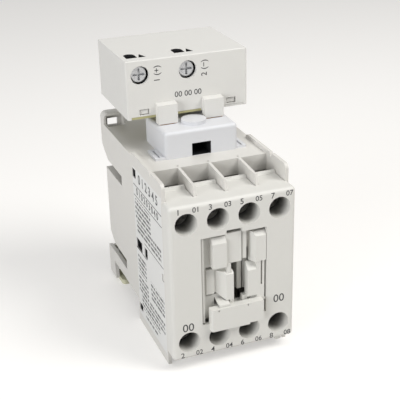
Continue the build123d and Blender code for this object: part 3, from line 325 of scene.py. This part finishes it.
def tinted(material, mask, shade=SHADOW):
    """Mixes a shade into the material's colour where the mask is one; by default this is SHADOW, painted
    shade.
    """
    tree = material.node_tree
    shader = tree.nodes["Principled BSDF"]
    source = shader.inputs["Base Color"].links[0].from_socket
    mix = add_node(tree, "ShaderNodeMix", [(0, mask), (6, source), (7, (*shade, 1))], data_type="RGBA")
    tree.links.new(mix.outputs[2], shader.inputs["Base Color"])
    return material


def shown(tree):
    """One where the camera, a reflection or glass sees the surface, and zero for other light."""
    path = add_node(tree, "ShaderNodeLightPath")
    direct = math_node(tree, "MAXIMUM", path.outputs["Is Camera Ray"], path.outputs["Is Glossy Ray"])
    return math_node(tree, "MAXIMUM", direct, path.outputs["Is Transmission Ray"])


# Surface groups

def moulded_group():
    """Moulded plastic: a slow drift of tone, fine grain and faint flow marks."""
    group, entry, leave = new_group(
        "Moulded surface",
        [("Colour", "NodeSocketColor", (0.8, 0.8, 0.8, 1)), ("Drift", "NodeSocketFloat", 0.03),
         ("Grain scale", "NodeSocketFloat", 4500.0), ("Roughness", "NodeSocketFloat", 0.45)],
        [("Colour", "NodeSocketColor"), ("Roughness", "NodeSocketFloat"), ("Height", "NodeSocketFloat")])
    point = object_point(group)
    slow = noise(group, point, scale=DRIFT_SCALE, detail=3.0)
    grain = noise(group, point, scale=entry.outputs["Grain scale"], detail=2.0)
    flow = noise(group, point, scale=FLOW_SCALE, detail=4.0, roughness=0.6)
    flow_centred = centred(group, flow)

    drift = math_node(group, "MULTIPLY", centred(group, slow), entry.outputs["Drift"])
    tone = math_node(group, "ADD", drift, 1.0)
    tone = math_node(group, "ADD", tone, math_node(group, "MULTIPLY", flow_centred, FLOW_TONE))
    group.links.new(scaled_colour(group, entry.outputs["Colour"], tone), leave.inputs["Colour"])

    gloss = math_node(group, "MULTIPLY", flow_centred, FLOW_GLOSS)
    rough = math_node(group, "ADD", entry.outputs["Roughness"], gloss, clamp=True)
    group.links.new(rough, leave.inputs["Roughness"])

    height = math_node(group, "ADD", math_node(group, "MULTIPLY", grain, GRAIN_HEIGHT),
                       math_node(group, "MULTIPLY", flow, FLOW_HEIGHT))
    group.links.new(height, leave.inputs["Height"])
    return group


def plated_group():
    """Plated or stamped metal: brushed streaks, dull spots and small dents."""
    group, entry, leave = new_group(
        "Plated surface",
        [("Colour", "NodeSocketColor", (0.6, 0.6, 0.6, 1)), ("Streak", "NodeSocketFloat", 0.15),
         ("Roughness", "NodeSocketFloat", 0.35)],
        [("Colour", "NodeSocketColor"), ("Roughness", "NodeSocketFloat"), ("Height", "NodeSocketFloat")])
    point = object_point(group)
    stretch = add_node(group, "ShaderNodeMapping", [("Vector", point),
                                                    ("Scale", (1.0, STREAK_STRETCH, 1.0))])
    streaks = noise(group, stretch.outputs[0], scale=STREAK_SCALE, detail=5.0)
    streaks_centred = centred(group, streaks)
    spots = add_node(group, "ShaderNodeTexVoronoi", [("Vector", point), ("Scale", SPOT_SCALE)],
                     feature="SMOOTH_F1").outputs["Distance"]

    streak = math_node(group, "MULTIPLY", streaks_centred, entry.outputs["Streak"])
    tone = math_node(group, "ADD", streak, 1.0)
    tone = math_node(group, "SUBTRACT", tone, math_node(group, "MULTIPLY", spots, SPOT_TONE))
    group.links.new(scaled_colour(group, entry.outputs["Colour"], tone), leave.inputs["Colour"])

    gloss = math_node(group, "MULTIPLY", streaks_centred, STREAK_GLOSS)
    rough = math_node(group, "ADD", entry.outputs["Roughness"], gloss, clamp=True)
    group.links.new(rough, leave.inputs["Roughness"])
    group.links.new(math_node(group, "ADD", streaks, spots), leave.inputs["Height"])
    return group


# Materials

def surfaced(name, group, inputs, depth, metallic=0.0, **sockets):
    """A material whose Principled shader is fed by a surface group."""
    material = bpy.data.materials.new(name)
    material.use_nodes = True
    tree = material.node_tree
    shader = tree.nodes["Principled BSDF"]
    shader.inputs["Metallic"].default_value = metallic
    for label, value in sockets.items():
        shader.inputs[label.replace("_", " ")].default_value = value
    surface = tree.nodes.new("ShaderNodeGroup")
    surface.node_tree = group
    for label, value in inputs.items():
        surface.inputs[label].default_value = value
    bump = add_node(tree, "ShaderNodeBump", [("Height", surface.outputs["Height"]), ("Strength", 1.0),
                                             ("Distance", depth)])
    tree.links.new(surface.outputs["Colour"], shader.inputs["Base Color"])
    tree.links.new(surface.outputs["Roughness"], shader.inputs["Roughness"])
    tree.links.new(bump.outputs["Normal"], shader.inputs["Normal"])
    return material


def plastic(name, colour, drift=0.05, roughness=None, depth=0.006 * MM):
    settings = bpy.context.scene.contactor_mouldings
    return surfaced(name, bpy.data.node_groups["Moulded surface"],
                    {"Colour": (*colour, 1), "Drift": drift, "Grain scale": 1 / settings.grain_size,
                     "Roughness": settings.roughness if roughness is None else roughness}, depth,
                    Specular_IOR_Level=0.42)


def metal(name, colour, roughness=0.35, streak=0.2, depth=0.003 * MM, metallic=1.0):
    return surfaced(name, bpy.data.node_groups["Plated surface"],
                    {"Colour": (*colour, 1), "Streak": streak, "Roughness": roughness}, depth,
                    metallic=metallic)


def floor_material(name, colour, shell):
    """Closing plate of the module, olive at the front left and shell grey on its hooks and right end."""
    material = plastic(name, colour)
    tree = material.node_tree
    point = axes_of(tree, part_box("module_base")[0])
    right_end = math_node(tree, "GREATER_THAN", point["X"], GREY_FROM_X * MM)
    hooks = math_node(tree, "GREATER_THAN", point["Z"], GREY_FROM_Z * MM)
    return tinted(material, math_node(tree, "MAXIMUM", right_end, hooks), shell)


def block_material(name, colour):
    """White terminal block with painted shade inside its front window."""
    material = plastic(name, colour, roughness=0.4)
    tree = material.node_tree
    point = axes_of(tree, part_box("coil_terminal_block")[0])
    return tinted(material, within(tree, point, BLOCK_WINDOW_SHADE))


def housing_material(name, colour):
    """Housing grey, with painted shade behind the windows of both side walls."""
    material = plastic(name, colour)
    tree = material.node_tree
    low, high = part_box("housing_wall_left")[0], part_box("housing_wall_right")[1]
    point = axes_of(tree, ((low[0] + high[0]) / 2, low[1], low[2]))
    half_width = (high[0] - low[0]) / 2
    point["X"] = math_node(tree, "SUBTRACT", half_width, math_node(tree, "ABSOLUTE", point["X"]))
    windows = [{"X": SIDE_WINDOW_SHADE_DEPTH, **window} for window in SIDE_WINDOW_SHADES]
    return tinted(material, within_any(tree, point, windows))


def cover_material(name, colour):
    """Cover grey with painted shade that darkens towards the bottom of the driver holes."""
    material = plastic(name, colour)
    tree = material.node_tree
    first, second, last = (centre_of(f"terminal_screw_{number}") for number in (1, 2, 8))
    pitch = second[0] - first[0]
    rows_apart = first[2] - last[2]
    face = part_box("front_cover")[0][1]
    point = axes_of(tree, ((first[0] + last[0]) / 2, face, (first[2] + last[2]) / 2))

    # Four columns and two rows fold onto one hole
    across = math_node(tree, "ABSOLUTE", point["X"])
    for fold in (pitch, pitch / 2):
        across = math_node(tree, "ABSOLUTE", math_node(tree, "SUBTRACT", across, fold))
    height = math_node(tree, "ABSOLUTE", point["Z"])
    height = math_node(tree, "ABSOLUTE", math_node(tree, "SUBTRACT", height, rows_apart / 2))

    # painted shade, deepening from the start depth over the shade length
    hole = within(tree, {"X": across, "Y": point["Y"], "Z": height}, DRIVER_HOLE_SHADE)
    depth = math_node(tree, "SUBTRACT", point["Y"], DRIVER_SHADE_START * MM)
    depth = math_node(tree, "MULTIPLY", depth, 1 / (DRIVER_SHADE_LENGTH * MM), clamp=True)
    mask = math_node(tree, "MULTIPLY", math_node(tree, "MULTIPLY", hole, depth), DRIVER_SHADE)
    return tinted(material, mask)


def module_material(name, colour):
    """Module grey, with painted shade inside the shell."""
    material = plastic(name, colour)
    tree = material.node_tree
    point = axes_of(tree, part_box("module_housing")[0])
    return tinted(material, within(tree, point, MODULE_INSIDE_SHADE))


def label_material(name, colour, ink):
    """Printed film: ruled lines and rows of broken bars."""
    material = plastic(name, colour, drift=0.02, roughness=0.38, depth=0.002 * MM)
    tree = material.node_tree
    point = axes_of(tree)
    row = math_node(tree, "MULTIPLY", point["Z"], 1 / (PRINT_PITCH * MM))
    bars = math_node(tree, "LESS_THAN", math_node(tree, "FRACT", row), PRINT_FILL)
    cell = add_node(tree, "ShaderNodeCombineXYZ", [(0, math_node(tree, "MULTIPLY", point["Y"], 1 / MM)),
                                                   (1, math_node(tree, "FLOOR", row))])
    dashes = noise(tree, cell.outputs[0], scale=1.0, detail=0.0)
    broken = math_node(tree, "GREATER_THAN", dashes, PRINT_GAP_LEVEL)

    on_label = axes_of(tree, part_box("side_label")[0])
    print_areas = within_any(tree, on_label, PRINT_AREAS)
    printed = math_node(tree, "MULTIPLY", math_node(tree, "MULTIPLY", print_areas, bars), broken)
    printed = math_node(tree, "MULTIPLY", printed, PRINT_STRENGTH)
    rules = within_any(tree, on_label, [{"Y": span, "Z": (line, line + RULE_WIDTH)} for line, span in RULES])
    return tinted(material, math_node(tree, "MAXIMUM", printed, rules), ink)


def coat(piece, material):
    piece.data.materials.clear()
    piece.data.materials.append(material)


def give(material, *names):
    for name in names:
        coat(nodes[name], material)


# Modelling helpers

def deselect():
    if bpy.context.mode != "OBJECT":
        bpy.ops.object.mode_set(mode="OBJECT")
    bpy.ops.object.select_all(action="DESELECT")


def settle(piece):
    """Puts the place of a piece into its mesh."""
    deselect()
    piece.select_set(True)
    bpy.context.view_layer.objects.active = piece
    bpy.ops.object.transform_apply(location=True, rotation=True, scale=True)


def join_all(pieces, name):
    deselect()
    for piece in pieces:
        piece.select_set(True)
    bpy.context.view_layer.objects.active = pieces[0]
    if len(pieces) > 1:
        bpy.ops.object.join()
    whole = bpy.context.view_layer.objects.active
    whole.name = name
    whole.data.name = name
    return whole


def written(text, place, height, thickness, turn=0.0, on_left=False):
    """Raised ink on a surface that faces the front, or the left side."""
    deselect()
    bpy.ops.object.text_add(location=(0, 0, 0))
    words = bpy.context.object
    words.data.body = text
    words.data.align_x = "CENTER"
    words.data.align_y = "CENTER"
    words.data.size = height * FONT_SIZE
    words.data.offset = (SIDE_INK_SPREAD if on_left else INK_SPREAD) * MM
    words.data.extrude = thickness / 2
    words.data.resolution_u = FONT_CURVES
    bpy.ops.object.convert(target="MESH")
    words = bpy.context.object
    if on_left:
        words.rotation_euler = (math.pi / 2, 0, -math.pi / 2)
        words.location = (place[0] - thickness / 2, place[1], place[2])
    else:
        words.rotation_euler = (math.pi / 2, turn, 0)
        words.location = (place[0], place[1] - thickness / 2, place[2])
    settle(words)
    return words


def coil(name, start, axis, length, radius, wire, turns):
    """Open compression spring with capped ends, wound by the screw modifier."""
    deselect()
    bpy.ops.mesh.primitive_circle_add(vertices=WIRE_SIDES, radius=wire / 2, location=(radius, 0, 0),
                                      rotation=(math.pi / 2, 0, 0))
    spring = bpy.context.object
    settle(spring)
    screw = spring.modifiers.new("Winding", "SCREW")
    screw.axis = "Z"
    screw.angle = 2 * math.pi * turns
    screw.screw_offset = length - wire
    screw.steps = STEPS_A_TURN * turns
    screw.render_steps = STEPS_A_TURN * turns
    screw.use_merge_vertices = False
    bpy.ops.object.modifier_apply(modifier="Winding")
    bpy.ops.object.mode_set(mode="EDIT")
    bpy.ops.mesh.select_all(action="DESELECT")
    bpy.ops.mesh.select_non_manifold()
    bpy.ops.mesh.fill()
    bpy.ops.mesh.select_all(action="SELECT")
    bpy.ops.mesh.normals_make_consistent(inside=False)
    bpy.ops.object.mode_set(mode="OBJECT")
    bpy.ops.object.shade_smooth_by_angle(angle=math.radians(WIRE_SMOOTHING))
    spring.rotation_euler = Vector((0, 0, 1)).rotation_difference(Vector(axis)).to_euler()
    spring.location = Vector(start) + Vector(axis) * wire / 2
    settle(spring)
    spring.name = name
    return spring


# Stage helpers

def light_world(scene):
    """Soft light from all round, and a pale backdrop where it is seen."""
    world = bpy.data.worlds.new("Studio")
    scene.world = world
    world.use_nodes = True
    tree = world.node_tree
    background = tree.nodes["Background"]
    background.inputs["Color"].default_value = WORLD_COLOUR
    level = math_node(tree, "MULTIPLY", shown(tree), WORLD_SHOWN)
    level = math_node(tree, "ADD", level, WORLD_FILL)
    tree.links.new(level, background.inputs["Strength"])


def paper_material(colour):
    """Matt paper that is lifted towards white where it is seen, so that it still takes shadows."""
    material = bpy.data.materials.new("Paper sweep")
    material.use_nodes = True
    tree = material.node_tree
    tree.nodes.remove(tree.nodes["Principled BSDF"])
    paper = add_node(tree, "ShaderNodeBsdfDiffuse", [("Color", (*colour, 1))])
    lift = add_node(tree, "ShaderNodeEmission", [("Color", FLOOR_LIFT_COLOUR), ("Strength", FLOOR_LIFT)])
    lifted = add_node(tree, "ShaderNodeAddShader", [(0, paper.outputs[0]), (1, lift.outputs[0])])
    mix = add_node(tree, "ShaderNodeMixShader", [(0, shown(tree)), (1, paper.outputs[0]),
                                                 (2, lifted.outputs[0])])
    tree.links.new(mix.outputs[0], tree.nodes["Material Output"].inputs["Surface"])
    return material


def hang_lamps(scene):
    for name, place, size, power, colour in LAMPS:
        lamp = bpy.data.lights.new(name, "AREA")
        lamp.shape = "DISK"
        lamp.size = size
        lamp.energy = power
        lamp.color = colour
        holder = bpy.data.objects.new(name, lamp)
        scene.collection.objects.link(holder)
        holder.location = place
        aim = Vector(LAMP_TARGET) - Vector(place)
        holder.rotation_euler = aim.to_track_quat("-Z", "Y").to_euler()


def place_camera(scene):
    lens = bpy.data.cameras.new("Camera")
    camera = bpy.data.objects.new("Camera", lens)
    scene.collection.objects.link(camera)
    right, down = Vector(CAMERA_RIGHT), Vector(CAMERA_DOWN)
    forward = right.cross(down).normalized()
    turn = Matrix((right, -down, -forward)).transposed().to_4x4()
    camera.matrix_world = Matrix.Translation(CAMERA_PLACE) @ turn
    lens.sensor_width = SENSOR_WIDTH
    lens.lens = scene.contactor_stage.lens
    lens.shift_x, lens.shift_y = CAMERA_SHIFT
    lens.clip_start, lens.clip_end = CAMERA_CLIP
    scene.camera = camera


# Operators

class CONTACTOR_OT_mouldings(bpy.types.Operator):
    """Gives the plastic pieces their moulded finishes"""
    bl_idname = "contactor.mouldings"
    bl_label = "Finish the mouldings"

    def execute(self, context):
        colours = context.scene.contactor_mouldings
        moulded_group()
        give(housing_material("Housing grey", colours.housing), "base_frame", "terminal_housing",
             "housing_wall_left", "housing_wall_right", "pole_ribs")
        give(cover_material("Cover grey", colours.cover), "front_cover")
        give(plastic("Guide grey", colours.cover), "auxiliary_guide")
        give(plastic("Carrier grey", colours.cover, roughness=0.38), "contact_carrier")
        give(module_material("Module grey", colours.module), "module_housing")
        give(plastic("Tab grey", colours.module), "module_tabs")
        give(block_material("Terminal block white", colours.block), "coil_terminal_block")
        give(plastic("Latch cream", colours.latch, roughness=0.4), "rail_latch")
        give(floor_material("Module floor olive", colours.module_floor, colours.module), "module_base")
        give(plastic("Bobbin black", colours.bobbin, roughness=0.5), "coil_bobbin", "module_choke")
        give(plastic("Cushion rubber", colours.rubber, roughness=0.75, depth=0.02 * MM), "core_cushions")
        give(plastic("Board green", colours.board, roughness=0.35), "module_board")
        give(label_material("Printed film", colours.film, context.scene.contactor_marks.ink), "side_label")
        return {"FINISHED"}


class CONTACTOR_OT_metals(bpy.types.Operator):
    """Gives the metal pieces their plated and stamped finishes"""
    bl_idname = "contactor.metals"
    bl_label = "Finish the metals"

    def execute(self, context):
        colours = context.scene.contactor_metals
        plated_group()
        screws = [f"terminal_screw_{n}" for n in range(1, 9)] + ["module_screw_1", "module_screw_2"]
        clamps = [f"wire_clamp_{n}" for n in range(1, 9)] + ["module_clamp_1", "module_clamp_2"]
        give(metal("Zinc screws", colours.zinc, roughness=0.3, streak=0.3, metallic=0.6), *screws)
        give(metal("Zinc clamps", colours.zinc, roughness=0.36), *clamps)
        give(metal("Tinned copper", colours.tinned, roughness=0.4), "line_terminals", "load_terminals",
             "contact_bridges")
        give(metal("Stamped copper", colours.copper, roughness=0.34), "coil_terminals", "module_prongs",
             "module_terminals")
        give(metal("Contact silver", colours.silver, roughness=0.3), "fixed_contact_tips",
             "moving_contact_tips")
        give(metal("Magnet sheet", colours.sheet, roughness=0.42, streak=0.5), "magnet_core", "armature")
        give(metal("Steel pin", colours.zinc, roughness=0.25), "armature_pin")
        give(metal("Enamelled winding", colours.winding, roughness=0.3, streak=0.6, depth=0.03 * MM),
             "coil_winding")
        return {"FINISHED"}


class CONTACTOR_OT_marks(bpy.types.Operator):
    """Prints plain numbers by the terminals and plain signs on the module"""
    bl_idname = "contactor.marks"
    bl_label = "Print the marks"

    def execute(self, context):
        marks = context.scene.contactor_marks
        material = plastic("Mark ink", marks.ink, roughness=0.5, depth=0.001 * MM)

        def write(text, place, size, **manner):
            return written(text, place, marks.height * size, marks.thickness, **manner)

        low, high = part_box("front_cover")
        face = low[1]
        pieces = []
        for pole in range(4):
            middle = centre_of(f"terminal_screw_{pole + 1}")[0]
            for number, row in ((2 * pole + 1, marks.row_top), (2 * pole + 2, marks.row_bottom)):
                for before, offset, size in POLE_NUMBERS:
                    pieces.append(write(before + str(number), (middle + offset * MM, face, row), size))
        for share, height in COVER_SIGNS:
            place = (low[0] + (high[0] - low[0]) * share, face, low[2] + height * MM)
            pieces.append(write("00", place, COVER_SIGN_SIZE))
        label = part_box("side_label")[0]
        for text, along, height, size in LABEL_SIGNS:
            place = (label[0], label[1] + along * MM, label[2] + height * MM)
            pieces.append(write(text, place, size, on_left=True))
        printed = join_all(pieces, "terminal_numbers")
        coat(printed, material)
        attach(printed, "housing")

        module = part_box("module_housing")[0]
        face = module[1]
        pieces = []
        for number, sign in enumerate(POLE_SIGNS, start=1):
            screw = centre_of(f"module_screw_{number}")
            place = (screw[0] + POLE_SIGN_OFFSET * MM, face, screw[2])
            pieces.append(write(sign, place, POLE_SIGN_SIZE, turn=-math.pi / 2))
        place = (centre_of("module_housing")[0], face, module[2] + MODULE_TEXT_HEIGHT * MM)
        pieces.append(write("00 00 00", place, 1.0))
        printed = join_all(pieces, "module_signs")
        coat(printed, material)
        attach(printed, "module")
        return {"FINISHED"}


class CONTACTOR_OT_springs(bpy.types.Operator):
    """Winds the springs and hangs each on the body that carries it"""
    bl_idname = "contactor.springs"
    bl_label = "Wind the springs"

    def execute(self, context):
        settings = context.scene.contactor_springs
        steel = metal("Spring steel", context.scene.contactor_metals.zinc, roughness=0.3, streak=0.3)

        def wind(node, body, axis, centres):
            low, high = (Vector(corner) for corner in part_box(node))
            span = (high - low).dot(Vector(axis))
            coils = []
            for centre in centres:
                start = Vector(centre)
                for place in range(3):
                    if axis[place]:
                        start[place] = low[place]
                coils.append(coil(node, start, axis, span, settings.coil_radius, settings.wire,
                                  settings.turns))
            whole = join_all(coils, node + "_wound")
            coat(whole, steel)
            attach(whole, body)
            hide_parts(node)
            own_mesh(whole)

        low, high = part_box("return_springs")
        x_mid, y_low = (low[0] + high[0]) / 2, low[1]
        radius = settings.coil_radius + settings.wire / 2
        wind("return_springs", "housing", (0, 1, 0),
             [(x_mid, y_low, low[2] + radius), (x_mid, y_low, high[2] - radius)])
        pole_centres = [centre_of(f"terminal_screw_{n}")[0] for n in range(1, 5)]
        middle = centre_of("contact_springs")[2]
        wind("contact_springs", "carrier", (0, 1, 0),
             [(x_place, 0, middle) for x_place in pole_centres])
        low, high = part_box("rail_latch_spring")
        wind("rail_latch_spring", "housing", (0, 0, 1),
             [((low[0] + high[0]) / 2, (low[1] + high[1]) / 2, low[2])])
        return {"FINISHED"}


class CONTACTOR_OT_stage(bpy.types.Operator):
    """Sets the floor, soft lamps and the camera"""
    bl_idname = "contactor.stage"
    bl_label = "Set the stage"

    def execute(self, context):
        scene = context.scene
        scene.view_settings.view_transform = "Standard"
        light_world(scene)

        deselect()
        bpy.ops.mesh.primitive_plane_add(size=FLOOR_SIZE, location=(0, 0, 0))
        floor = context.object
        floor.name = "floor"
        floor.data.materials.append(paper_material(scene.contactor_stage.floor))

        hang_lamps(scene)
        place_camera(scene)
        return {"FINISHED"}


STEPS = (
    CONTACTOR_OT_mouldings,
    CONTACTOR_OT_metals,
    CONTACTOR_OT_marks,
    CONTACTOR_OT_springs,
    CONTACTOR_OT_stage,
)
SETTINGS = {
    "contactor_mouldings": MouldingSettings,
    "contactor_metals": MetalSettings,
    "contactor_marks": MarkSettings,
    "contactor_springs": SpringSettings,
    "contactor_stage": StageSettings,
}


class CONTACTOR_PT_panel(bpy.types.Panel):
    """Lists the finishing steps in order"""
    bl_idname = "CONTACTOR_PT_panel"
    bl_label = "Contactor"
    bl_space_type = "VIEW_3D"
    bl_region_type = "UI"
    bl_category = "Contactor"

    def draw(self, context):
        for operator in STEPS:
            self.layout.operator(operator.bl_idname)
        for group in SETTINGS:
            box = self.layout.box()
            values = getattr(context.scene, group)
            for name in values.bl_rna.properties.keys():
                if name not in {"rna_type", "name"}:
                    box.prop(values, name)


def register():
    for cls in (*SETTINGS.values(), *STEPS, CONTACTOR_PT_panel):
        bpy.utils.register_class(cls)
    for name, group in SETTINGS.items():
        setattr(bpy.types.Scene, name, PointerProperty(type=group))


def unregister():
    for name in SETTINGS:
        delattr(bpy.types.Scene, name)
    for cls in reversed((*SETTINGS.values(), *STEPS, CONTACTOR_PT_panel)):
        bpy.utils.unregister_class(cls)


def main():
    register()
    for operator in STEPS:
        section, name = operator.bl_idname.split(".")
        getattr(getattr(bpy.ops, section), name)()


if __name__ == "__main__":
    main()
